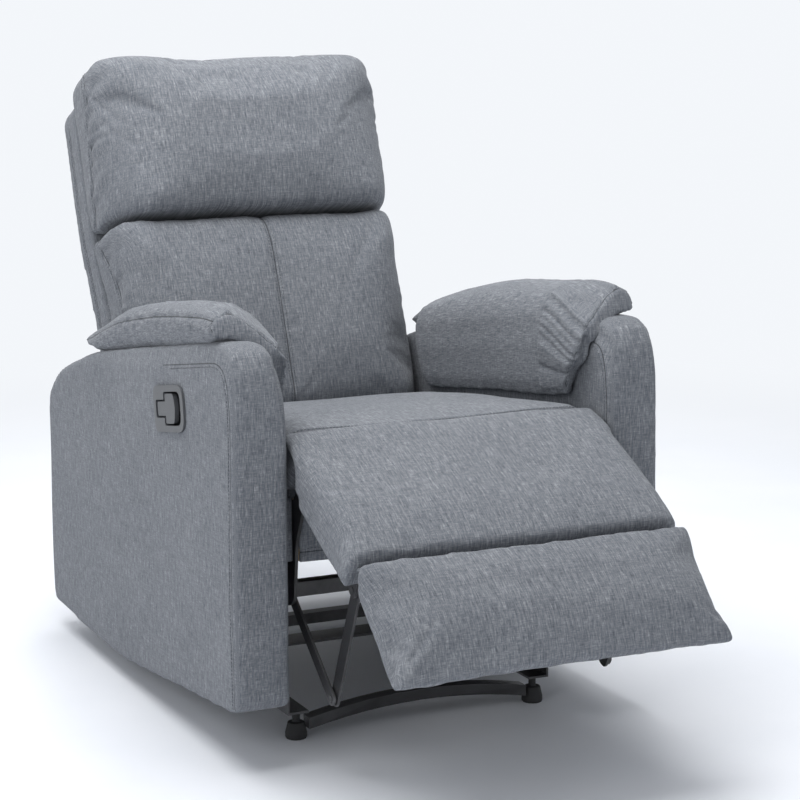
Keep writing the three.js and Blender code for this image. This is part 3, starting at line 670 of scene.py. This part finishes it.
def make_lumbar():
    obj = cad_copy("lumbar_cushion_soft", "lumbar_cushion")
    remesh(obj, 0.007)
    x, s, t = BACK.read(obj)
    x, s = round_corner(x, s, LUMBAR_HALF, CREASE - 0.004, 0.014)
    x = x * lumbar_half(s) / LUMBAR_HALF
    t = pull_in_sides(x, t, lumbar_half(s), 0.055, lumbar_seam(s), power=2.4)
    t = t - 0.004 * ramp(t, -0.04, 0.08)
    t = t - 0.018 * ramp(s, CREASE - 0.075, CREASE) * ramp(t, 0, 0.09)
    BACK.write(obj, x, s + corner_lift(x, s, 0.003), t)
    remesh(obj, 0.006)
    smooth(obj, 6)
    x, s, t = BACK.read(obj)
    seam = edge_distance(x, t, lumbar_half(s) - 0.002, lumbar_seam(s))
    held = np.exp(-((x / 0.010) ** 2)) * 0.75 * ramp(t, -0.05, 0)
    held = np.maximum(held, on_frame(t))
    held = np.maximum(held, 0.9 * np.exp(-((seam / 0.008) ** 2)))
    inflate(obj, np.maximum(held, 0.8 * ramp(s, CREASE - 0.05, CREASE - 0.01)), cap=0.018)
    subdivide(obj)
    x, s, t = BACK.read(obj)
    side = edge_distance(x, t, lumbar_half(s) - 0.002, lumbar_seam(s))
    middle = np.where(t > 0.0, x, 1.0)
    sew(obj, side, s, depth=0.003, gather=0.0055, reach=0.036, pitch=0.019, seed=31, side=1)
    sew(obj, middle, s, depth=0.0026, width=0.0045, gather=0.0007, reach=0.02, seed=33)
    sew(obj, s - CREASE, x, depth=0, gather=0.002, reach=0.02, pitch=0.026, seed=34)
    swell(obj, (0.14, 0.003, 5), (0.05, 0.0007, 6))
    gusset = side < 0
    panel = np.where(gusset, 3.0, np.where(x > 0, 1.0, 0.0))
    x, s, t = BACK.read(obj)
    across, down = wrapped(x, s, t, LUMBAR_HALF, CREASE)
    lay_weave(obj, np.where(gusset, t, across), np.where(gusset, s, down), panel)
    mark(obj, seam=nearest_seam(side, middle))
    upholstered(obj, "back", ["lumbar_cushion"])
    up = np.linspace(0.01, CREASE - 0.01, 60)
    rows = [BACK.world(offset, up, 0.06) for offset in (-0.0052, 0.0052)]
    topstitch("lumbar_stitches_middle", obj, rows, BACK.direction(0, -1), "back")
    up = np.linspace(0.02, CREASE - 0.025, 60)
    for name, sign in SIDES:
        line = BACK.world(sign * 0.275, up, lumbar_seam(up) - 0.0045)
        topstitch(f"lumbar_stitches_{name}", obj, [line], (-sign, 0, 0), "back")


def make_back_shell():
    """The upholstered frame behind the cushions: a slim box with rounded top corners and three seams."""
    narrow, half, low, high = 0.2625, 0.2725, -0.020, 0.648
    rear, front = -0.172, -0.0985
    edge_at, rim_at, hem_at = 0.222, rear + 0.030, 0.012
    outline = rounded(
        [
            (-narrow, low, 0.012), (narrow, low, 0.012), (narrow, 0.25), (half, CREASE),
            (half, high, 0.036), (-half, high, 0.036), (-half, CREASE), (-narrow, 0.25),
        ]
    )
    obj = prism("back_shell", BACK.world, outline, rear, front)
    remesh(obj, 0.006)
    smooth(obj, 6)
    x, s, t = BACK.read(obj)
    bulge = (1 - (x / half) ** 4) * (1 - ((s - 0.31) / 0.34) ** 4) * 0.007
    BACK.write(obj, x, s, t - np.clip(bulge, 0, 1) * (1 - ramp(t, rear, rear + 0.03)))
    x, s, t = BACK.read(obj)
    is_rear = t < rear + 0.018
    edge = np.where(is_rear, np.abs(x) - edge_at, 1.0)
    rim = np.where((t > rear + 0.012) & (t < front - 0.006), t - rim_at, 1.0)
    hem = np.where(is_rear, s - hem_at, 1.0)
    sew(obj, edge, s, depth=0.003, gather=0.0011, reach=0.025, pitch=0.03, seed=41)
    sew(obj, rim, s + np.abs(x), depth=0.0026, gather=0.0006, reach=0.012, pitch=0.016, seed=42)
    sew(obj, hem, x, depth=0.002, gather=0.0005, reach=0.015, pitch=0.03, seed=43)
    swell(obj, (0.16, 0.003, 8))
    lay_weave(obj, *boxed(obj, BACK))
    mark(obj, seam=nearest_seam(edge, rim, hem))
    upholstered(obj, "back", ["back_cover", "back_board"])
    up = np.linspace(0.0, 0.615, 80)
    rows = [BACK.world(sign * (edge_at + d), up, rear) for sign in (-1, 1) for d in (-0.005, 0.005)]
    across = np.linspace(-0.24, 0.24, 60)
    rows += [BACK.world(across, hem_at + d, rear) for d in (-0.004, 0.004)]
    topstitch("back_stitches_rear", obj, rows, BACK.direction(0, 1), "back")
    up = np.linspace(-0.005, 0.59, 80)
    for name, sign in SIDES:
        rows = [BACK.world(sign * 0.28, up, rim_at + d) for d in (-0.0045, 0.0045)]
        topstitch(f"back_stitches_{name}", obj, rows, (-sign, 0, 0), "back")


# ---------------------------------------------------------------- seat
SEAT_SEAM = 0.048  # behind the arms' front


def make_seat():
    obj = cad_copy("seat_cushion_soft", "seat_cushion")
    remesh(obj, 0.007)
    x, along, above = CALF.read(obj)
    soft = ramp(along, -0.072, -0.060)
    lip = np.where(along > -0.066, np.minimum(above, 0.0385), above)
    under_flap = (along > -0.075)[:, None]
    move_to(obj, np.where(under_flap, CALF.world(x, along, above * (1 - soft) + lip * soft), coords(obj)))
    x, s, t = LEVEL.read(obj)
    t = round_sides(x, t, SEAT_HALF, radius=0.03, base=0.43, keep=0.35, power=2)
    t = t - 0.007 * ramp(t, 0.43, 0.47) * ramp(s, 0.06, 0.12)
    LEVEL.write(obj, x * 0.988, s, t)
    remesh(obj, 0.007)
    smooth(obj, 4)
    x, s, t = LEVEL.read(obj)
    along = CALF.read(obj)[1]
    held = np.maximum(1 - ramp(t, 0.40, 0.43), ramp(along, -0.085, -0.068))
    inflate(obj, np.maximum(held, 0.9 * ramp(s, 0.585, 0.605)), cap=0.018, pressure=3.0)
    subdivide(obj)
    swell(obj, (0.15, 0.003, 9), share=ramp(coords(obj)[:, 2], 0.43, 0.46))
    x, s, t = LEVEL.read(obj)
    lay_weave(obj, *wrapped(x, s, t, SEAT_HALF))
    mark(obj, seam=np.where(t > 0.47, s - (SEAT_SEAM + 0.004), 1.0))
    upholstered(obj, "seat_unit", ["seat_cushion"])
    line = LEVEL.world(np.linspace(-0.25, 0.25, 80), SEAT_SEAM + 0.009, 0.5)
    topstitch("seat_stitches", obj, [line], (0, 0, -1), "seat_unit")


# ---------------------------------------------------------------- footrest
def make_calf():
    """The calf pad and the flap that joins it to the seat: one cover, from the seat's seam to the fold."""
    outline = rounded(
        [
            (-60, 36), (-64, 47, 4), (-52, 56, 6), (-20, 60), (40, 62), (110, 63), (160, 61), (200, 55, 12),
            (225, 47, 8), (225, 24, 8), (220, 10, 6), (220, -12, 2), (37, -12, 2), (37, 4.3), (15, 4.3),
            (14, 34, 10), (-12, 42, 10), (-44, 41, 6),
        ]
    ) * MM
    half = PANEL_HALF
    obj = prism("calf_pad_soft", lambda a, b, c: CALF.world(c, a, b), outline, -half, half)
    remesh(obj, 0.005)
    x, s, t = CALF.read(obj)
    x = x * (1 - 0.012 * (1 - ramp(s, -0.06, 0.05)))
    t = round_sides(x, t, half, radius=0.032, base=np.where(s > 0.012, 0.006, 0.038), keep=0.5)
    CALF.write(obj, x, s, t)
    smooth(obj, 6)
    x, s, t = CALF.read(obj)
    held = np.maximum(1 - ramp(s, -0.03, 0.16), 1 - ramp(t, 0.006, 0.016))
    inflate(obj, np.maximum(held, 0.9 * ramp(s, 0.205, 0.221)), cap=0.008)
    subdivide(obj)
    x, s, t = CALF.read(obj)
    side = np.where(np.abs(x) > 0.24, t - 0.012, 1.0)
    sew(obj, s + 0.0605, x, depth=0.001, gather=0.0006, reach=0.02, pitch=0.03, seed=51)
    sew(obj, s - 0.223, x, depth=0.0, gather=0.0014, reach=0.022, seed=52)
    sew(obj, side, s, depth=0.001, gather=0.0008, reach=0.022, pitch=0.024, seed=53)
    swell(obj, (0.15, 0.003, 12), share=ramp(t, 0.03, 0.05))
    lay_weave(obj, *wrapped(*CALF.read(obj), half, CALF_END))
    mark(obj, seam=np.ones(len(x)))
    upholstered(obj, None, ["calf_pad", "calf_board"])
    start, end = (tuple(CALF.world(0.0, at, 0.0)) for at in (-0.050, 0.020))
    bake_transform(obj)


def make_tuck():
    """The strip of cloth in the fold between the two footrest pads, rounded about the fold's pivot."""
    radius, thick = 0.017, 0.006
    turn = np.linspace(math.radians(-70), math.radians(60), 22)
    ring = np.stack([radius * np.sin(turn), radius * np.cos(turn)], axis=1)
    pivot = np.concatenate(CALF.local(np.array([JOINT_AT["foot_fold"]])))
    outline = np.concatenate([ring, ring[::-1] * (radius - thick) / radius]) + pivot
    half = PANEL_HALF - 0.014
    obj = prism("footrest_tuck", lambda a, b, c: CALF.world(c, a, b), outline, -half, half)
    remesh(obj, 0.003)
    co = coords(obj)
    lay_weave(obj, co[:, 0], co[:, 1])
    mark(obj, seam=np.ones(len(co)))
    shade_smooth(obj)
    obj.data.materials.append(FABRIC)
    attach(obj, "calf_panel")


def make_foot():
    obj = cad_copy("foot_pad_soft", "foot_pad", "foot_board")
    remesh(obj, 0.006)
    half = PANEL_HALF
    x, s, t = FOOT.read(obj)
    high = ramp(t, 0.012, 0.028)
    t, s = t + 0.015 * (1 - ramp(s, 0.0, 0.085)) * high, s - 0.004 * (1 - ramp(s, 0.0, 0.03)) * high
    t = round_sides(x, t, half, radius=0.030, base=0.008, keep=0.55)
    t = t - 0.006 * ramp(t, 0.03, 0.05) * ramp(s, 0.02, 0.06)
    s = s - 0.006 * ramp(s, 0.12, FOOT_END) * (1 - (x / half) ** 2)
    x = x * (1 - 0.012 * np.sin(np.clip(s / FOOT_END, 0, 1) * math.pi))
    FOOT.write(obj, x, s, t)
    remesh(obj, 0.005)
    smooth(obj, 4)
    x, s, t = FOOT.read(obj)
    held = np.maximum(1 - ramp(t, 0.006, 0.016), 0.3 * ramp(s, 0.18, 0.192))
    inflate(obj, np.maximum(held, 0.85 * (1 - ramp(s, 0.0, 0.014))), cap=0.018)
    subdivide(obj)
    x, s, t = FOOT.read(obj)
    hem = np.where(t < 0.05, s - 0.188, 1.0)
    side = np.where(np.abs(x) > 0.24, t - 0.016, 1.0)
    sew(obj, hem, x, depth=0, gather=0.0013, reach=0.024, pitch=0.03, seed=61)
    sew(obj, side, s, depth=0.001, gather=0.0007, reach=0.024, pitch=0.024, seed=62)
    sew(obj, s, x, depth=0.0, gather=0.0018, reach=0.02, seed=63)
    swell(obj, (0.14, 0.003, 14), share=ramp(t, 0.03, 0.05))
    lay_weave(obj, *wrapped(*FOOT.read(obj), half, FOOT_END), 5.0)
    mark(obj, seam=np.ones(len(x)))
    upholstered(obj, "foot_panel", ["foot_pad", "foot_board"])


# ---------------------------------------------------------------- arms
BEZEL_LOW, BEZEL_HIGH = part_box("handle_bezel")


def arm_slab(name, side):
    """The whole arm: the outline of its CAD side panel, at the arm's full thickness."""
    obj = cad_copy(name, "arm_panel_left")
    co = coords(obj)
    panel_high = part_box("arm_panel_left")[1].x
    share = (co[:, 0] - ARM_INNER) / (panel_high - ARM_INNER)
    co[:, 0] = side * (ARM_INNER + share * ARM_THICK)
    move_to(obj, co)
    return obj


def arm_edge():
    """The outline of the arm's front and top, from the foot of its front."""
    top = arm_top_height(np.array([ARM_FRONT, 0.32]))
    return rounded([(ARM_FRONT, ARM_LOW.z), (ARM_FRONT, top[0], ARM_CORNER), (0.32, top[1])], 12)


def under_arm_outline(co):
    """Depth of each point under the arm's front and top, and the direction that points straight in."""
    outline = arm_edge()
    span = outline[1:] - outline[:-1]
    length = np.linalg.norm(span, axis=1)
    offset = co[:, None, 1:3] - outline[None, :-1]
    share = np.clip((offset * span).sum(2) / length ** 2, 0, 1)
    gap = offset - share[..., None] * span
    nearest = np.linalg.norm(gap, axis=2).argmin(1)
    inward = (np.stack([span[:, 1], -span[:, 0]], axis=1) / length[:, None])[nearest]
    return np.maximum(0, (gap[np.arange(len(co)), nearest] * inward).sum(1)), inward


ARM_EDGE = 0.008  # least radius of the arm's long edges


def arm_round(co):
    """Radius of the arm's long edges: large over the top of its front, more so on the inner side."""
    share = ramp(co[:, 2], 0.50, 0.60) * (1 - ramp(co[:, 1], 0.0, 0.2))
    return ARM_EDGE + np.where(np.abs(co[:, 0]) < ARM_MIDDLE, 0.034, 0.012) * share


def arm_seam_depth(co):
    """How far behind the arm's outline the seam of its front band runs."""
    return 0.013 + 0.4 * (arm_round(co) - ARM_EDGE)


def round_arm_top(obj, side):
    co = coords(obj)
    depth, inward = under_arm_outline(co)
    x = np.abs(co[:, 0])
    edge = ARM_THICK / 2 - np.abs(x - ARM_MIDDLE)
    radius = arm_round(co)
    a = np.maximum(0, radius - np.maximum(edge, 0))
    b = np.maximum(0, radius - depth)
    reach = np.hypot(a, b)
    keep = np.where(reach > radius, radius / np.maximum(reach, 1e-9), 1)
    co[:, 0] = side * (x - np.sign(x - ARM_MIDDLE) * a * (1 - keep))
    co[:, 1:3] += inward * (b * (1 - keep))[:, None]
    move_to(obj, co)


def cut_bezel_recess(obj):
    """Opens the arm for the release handle, a little inside the rim of its bezel."""
    centre_y = (BEZEL_LOW.y + BEZEL_HIGH.y) / 2
    centre_z = (BEZEL_LOW.z + BEZEL_HIGH.z) / 2
    c, s = math.cos(ARM_SLOPE), math.sin(ARM_SLOPE)
    place = SideFrame((centre_y, centre_z), (-c, s), (s, c))
    outline = rounded([(-64, -32, 13), (64, -32, 23), (64, 32, 23), (-64, 32, 13)]) * MM
    low, high = -ARM_OUTER - 0.02, BEZEL_HIGH.x + 0.001
    cutter = prism("cutter", lambda a, b, c: place.world(c, a, b), outline, low, high)
    modify(obj, "BOOLEAN", operation="DIFFERENCE", object=cutter, solver="EXACT")
    settle(obj)
    bpy.data.objects.remove(cutter)


def make_arm(name, side):
    obj = arm_slab(f"arm_{name}_soft", side)
    remesh(obj, 0.006)
    round_arm_top(obj, side)
    smooth(obj, 10)
    co = coords(obj)
    beside = (co[:, 1] < ARM_FRONT + 0.30) & (np.abs(normals(obj)[:, 0]) > 0.4)
    rim = np.where(beside, under_arm_outline(co)[0] - arm_seam_depth(co), 1.0)
    sew(obj, rim, co[:, 2] - co[:, 1], depth=0.0012, width=0.004, gather=0.0005, reach=0.016, seed=71)
    swell(obj, (0.2, 0.0025, 16 + side))
    co, n = coords(obj), normals(obj)
    flat = np.abs(n[:, 0]) > 0.75
    upright = np.maximum(ramp(-n[:, 1] - 0.2 * n[:, 2], -0.2, 0.4), ramp(n[:, 1], 0.5, 0.8))
    band = co[:, 2] * upright - co[:, 1] * (1 - upright)
    across = np.where(flat, co[:, 1] + 4, co[:, 0])
    lay_weave(obj, across, np.where(flat, co[:, 2], band), np.where(flat, 7.0, 0.0))
    mark(obj, seam=rim)
    if side < 0:
        cut_bezel_recess(obj)
    upholstered(obj, "seat_unit", [f"arm_cover_{name}", f"arm_panel_{name}"])
    stitch_arm(obj, name, side)


def stitch_arm(obj, name, side):
    """A row of stitches behind each seam of the front band, up the front and over the top."""
    edge = arm_edge()
    run = np.concatenate([[0], np.cumsum(np.linalg.norm(np.diff(edge, axis=0), axis=1))])
    at = np.linspace(0.05, run[-1] - 0.42, 160)
    y, z = (np.interp(at, run, edge[:, k]) for k in (0, 1))
    step = np.gradient(np.stack([y, z], axis=1), axis=0)
    inward = np.stack([step[:, 1], -step[:, 0]], axis=1) / np.linalg.norm(step, axis=1)[:, None]
    for face, x, look in (("outer", ARM_OUTER, -1), ("inner", ARM_INNER, 1)):
        line = np.stack([np.full(len(at), side * x), y, z], axis=1)
        line[:, 1:3] += inward * (arm_seam_depth(line) + 0.0052)[:, None]
        topstitch(f"arm_{name}_stitches_{face}", obj, [line], (side * look, 0, 0), "seat_unit")


def make_pad(name, side):
    obj = cad_copy(f"arm_pad_{name}_soft", f"arm_pad_{name}")
    remesh(obj, 0.006)
    smooth(obj, 3)
    co, n = coords(obj), normals(obj)
    front_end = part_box(f"arm_pad_{name}")[0].y
    up = co[:, 2] - arm_top_height(co[:, 1])
    resting = (np.abs(up) < 0.012) & (np.abs(co[:, 0]) > ARM_INNER) & (n[:, 2] < -0.3)
    front = ramp(-n[:, 1], 0.55, 0.85) * (co[:, 1] < front_end + 0.13)
    held = np.maximum(np.where(resting, 1.0, 0.0), 0.6 * front)
    held = np.maximum(held, 1 - ramp(up, -0.115, -0.075))
    inflate(obj, np.maximum(held, 0.9 * (1 - ramp(up, 0.0, 0.012))), cap=0.012, pressure=3.0)
    subdivide(obj)
    co, n = coords(obj), normals(obj)
    up = co[:, 2] - arm_top_height(co[:, 1])
    crescent = crescent_distance(co, n, front_end)
    on_rim = (np.abs(co[:, 0]) > 0.318) & (up > 0.0) & (crescent > 0)
    outer = np.where(on_rim, up - 0.72 * profile(co[:, 1], up), 1.0)
    sew(obj, outer, co[:, 1], depth=0.0022, gather=0.0022, reach=0.03, pitch=0.016, seed=81, side=-1)
    along = co[:, 0] * side + co[:, 2]
    sew(obj, crescent, along, depth=0.0025, gather=0.0040, reach=0.026, pitch=0.015, seed=83, side=1)
    swell(obj, (0.12, 0.003, 20 + side))
    drape_pad(obj)
    co, n = coords(obj), normals(obj)
    on_side = ramp(np.abs(n[:, 0]), 0.45, 0.75)
    across = co[:, 0] * (1 - on_side) + side * (0.27 + arm_top_height(co[:, 1]) - co[:, 2]) * on_side
    upright = (crescent < 0) | (n[:, 1] > 0.7)
    lay_weave(obj, np.where(upright, co[:, 0] + 3, across), np.where(upright, co[:, 2], co[:, 1]))
    mark(obj, seam=nearest_seam(outer, crescent))
    upholstered(obj, "seat_unit", [f"arm_pad_{name}"])


def drape_pad(obj):
    """Lets the pad's front follow the round of the arm, and its flap reach back to the lumbar cushion."""
    co = coords(obj)
    x = np.abs(co[:, 0])
    up = co[:, 2] - arm_top_height(co[:, 1])
    past = np.maximum(0, ARM_FRONT + ARM_CORNER - co[:, 1])
    lead = ramp(-co[:, 1], -(ARM_FRONT + 0.19), -(ARM_FRONT + 0.05))
    inner = 0.040 * (1 - ramp(x, ARM_INNER - 0.005, ARM_INNER + 0.068)) * lead * ramp(up, -0.09, -0.01)
    co[:, 2] -= past ** 2 / (4 * ARM_CORNER) * ramp(x, 0.25, 0.27) + inner
    co[:, 1] += 0.016 * ramp(co[:, 1], 0.10, 0.24) * (1 - ramp(x, ARM_INNER - 0.01, ARM_INNER))
    move_to(obj, co)


def arm_top_height(y):
    """Height of the arm's sloping top edge."""
    return ARM_HIGH.z - 0.0007 - (y - ARM_FRONT) * math.tan(ARM_SLOPE)


def crescent_distance(co, n, front):
    """Distance behind the edge of the pad's front face, where that face is below 0."""
    facing = -n[:, 1]
    near = (co[:, 1] < front + 0.13) & (co[:, 2] > arm_top_height(co[:, 1]) - 0.10)
    return np.where(near, (0.55 - facing) * 0.02, 1.0)


# ---------------------------------------------------------------- plain covered panels
def covered_panel(name, node_name, body, height=0.002):
    """A thin covered board in the place of its CAD solid. height is that of its unevenness."""
    obj = cad_copy(name, node_name)
    remesh(obj, 0.004)
    smooth(obj, 3)
    swell(obj, (0.09, height, 25))
    co = coords(obj)
    low, high = co.min(0), co.max(0)
    lay_weave(obj, co[:, 0], co[:, 2])
    hem = co[:, 2] - (low[2] + 0.016)
    mark(obj, seam=hem)
    sew(obj, hem, co[:, 0], depth=0.0012)
    upholstered(obj, body, [node_name])
    across = np.linspace(low[0] + 0.01, high[0] - 0.01, 90)
    return across, low, high, obj


def level_rows(across, y, heights):
    return [np.stack([across, np.full(len(across), y), np.full(len(across), z)], axis=1) for z in heights]


def make_panels():
    across, low, high, obj = covered_panel("rear_panel_soft", "rear_panel", "seat_unit")
    rows = level_rows(across, high[1], (low[2] + 0.021, high[2] - 0.02))
    topstitch("rear_panel_stitches", obj, rows, (0, -1, 0), "seat_unit")
    for name, _ in SIDES:
        covered_panel(f"seat_rail_{name}_covered", f"seat_rail_{name}", "seat_unit", 0.0005)
    across, low, high, obj = covered_panel("front_valance_soft", "seat_front_valance", "seat_unit")
    rows = level_rows(across, low[1], [low[2] + 0.021])
    topstitch("front_valance_stitches", obj, rows, (0, 1, 0), "seat_unit")


# ---------------------------------------------------------------- hard parts
def finish_hard_parts():
    """Gives each CAD node that still shows its own finish and softly broken edges."""
    slots = {entry["node"]: entry["material_slot"] for entry in frame["record"]["subparts"]}
    finishes = {
        "black_steel": (STEEL, 0.0007),
        "spring_steel": (ZINC, 0.0006),
        "plywood": (WOOD, 0.0008),
        "handle_plastic": (PLASTIC, 0.0012),
        "glide_rubber": (RUBBER, 0.0010),
        "cable_sleeve": (SLEEVE, 0.0),
        "grey_fabric": (FABRIC, 0.001),
    }
    for name, obj in frame["nodes"].items():
        if obj.hide_render:
            continue
        material, bevel = finishes[slots[name]]
        obj.data.materials.clear()
        obj.data.materials.append(material)
        shade_smooth(obj)
        modify(obj, "WELD", merge_threshold=0.00001)
        if bevel:
            modify(obj, "BEVEL", width=bevel, segments=2, limit_method="ANGLE", angle_limit=math.radians(40))
        modify(obj, "WEIGHTED_NORMAL", keep_sharp=True)


# ---------------------------------------------------------------- stage
def make_camera():
    yaw, pitch, roll = math.radians(25.336), math.radians(9.731), math.radians(-0.2885)
    right = Vector((math.cos(yaw), -math.sin(yaw), 0))
    ahead = Vector((math.sin(yaw) * math.cos(pitch), math.cos(yaw) * math.cos(pitch), -math.sin(pitch)))
    up = right.cross(ahead)
    x_axis = right * math.cos(roll) + up * math.sin(roll)
    y_axis = up * math.cos(roll) - right * math.sin(roll)
    data = bpy.data.cameras.new("camera")
    data.sensor_width = 36
    data.lens = 95.41
    camera = link(bpy.data.objects.new("camera", data))
    matrix = Matrix((x_axis, y_axis, -ahead)).transposed().to_4x4()
    matrix.translation = (-1.4007, -3.1247, 1.0640)
    camera.matrix_world = matrix
    bpy.context.scene.camera = camera


def soft_light(name, at, target, size, power, colour=(1, 1, 1)):
    data = bpy.data.lights.new(name, "AREA")
    data.shape = "RECTANGLE"
    data.size, data.size_y = size
    data.energy = power
    data.color = colour
    lamp = link(bpy.data.objects.new(name, data))
    lamp.location = at
    lamp.rotation_mode = "QUATERNION"
    lamp.rotation_quaternion = (Vector(target) - Vector(at)).to_track_quat("-Z", "Y")


WHITE = (0.90, 0.925, 0.96)


def make_stage():
    """A pale floor that fades into the white of the studio with distance."""
    floor = mesh_object("floor", [(-30, -30, 0), (30, -30, 0), (30, 30, 0), (-30, 30, 0)], [(0, 1, 2, 3)])
    material, tree, shader = surface("studio_floor", Roughness=0.6, Specular_IOR_Level=0.2)
    place = node(tree, "ShaderNodeTexCoord").outputs["Object"]
    scuffs = scaled_noise(tree, place, 3.0, 4.0)
    colour = colour_ramp(tree, scuffs, [(0.3, (0.80, 0.825, 0.87)), (0.7, (0.84, 0.86, 0.90))])
    tree.links.new(colour, shader.inputs["Base Color"])
    away = node(tree, "ShaderNodeVectorMath", {0: place}, operation="LENGTH").outputs["Value"]
    reach = {"Value": away, "From Min": 1.0, "From Max": 3.6, "To Min": 0.0, "To Max": 1.0}
    share = node(tree, "ShaderNodeMapRange", reach, interpolation_type="SMOOTHSTEP").outputs[0]
    glow = node(tree, "ShaderNodeEmission", {"Color": (*WHITE, 1), "Strength": 1.0}).outputs[0]
    mixed = node(tree, "ShaderNodeMixShader", {"Fac": share, 1: shader.outputs[0], 2: glow}).outputs[0]
    tree.links.new(mixed, tree.nodes["Material Output"].inputs["Surface"])
    floor.data.materials.append(material)
    world = bpy.data.worlds.new("studio")
    world.use_nodes = True
    tree = world.node_tree
    direction = node(tree, "ShaderNodeTexCoord").outputs["Generated"]
    height = node(tree, "ShaderNodeSeparateXYZ", {0: direction}).outputs["Z"]
    sky = colour_ramp(tree, height, [(0.12, WHITE), (0.5, (0.42, 0.43, 0.45))])
    tree.links.new(sky, tree.nodes["Background"].inputs["Color"])
    bpy.context.scene.world = world
    middle = (0, 0, 0.5)
    soft_light("overhead", (-0.4, 0.1, 3.0), middle, (2.4, 2.4), 95)
    soft_light("left_front", (-2.8, -2.0, 2.0), middle, (1.5, 1.6), 22)
    soft_light("behind", (1.2, 2.8, 2.2), middle, (2.0, 1.6), 30)
    bpy.context.scene.view_settings.view_transform = "Standard"


make_camera()
make_head()
make_lumbar()
make_back_shell()
make_seat()
make_calf()
make_tuck()
make_foot()
for side_name, side_sign in SIDES:
    make_arm(side_name, side_sign)
    make_pad(side_name, side_sign)
make_panels()
finish_hard_parts()
make_stage()
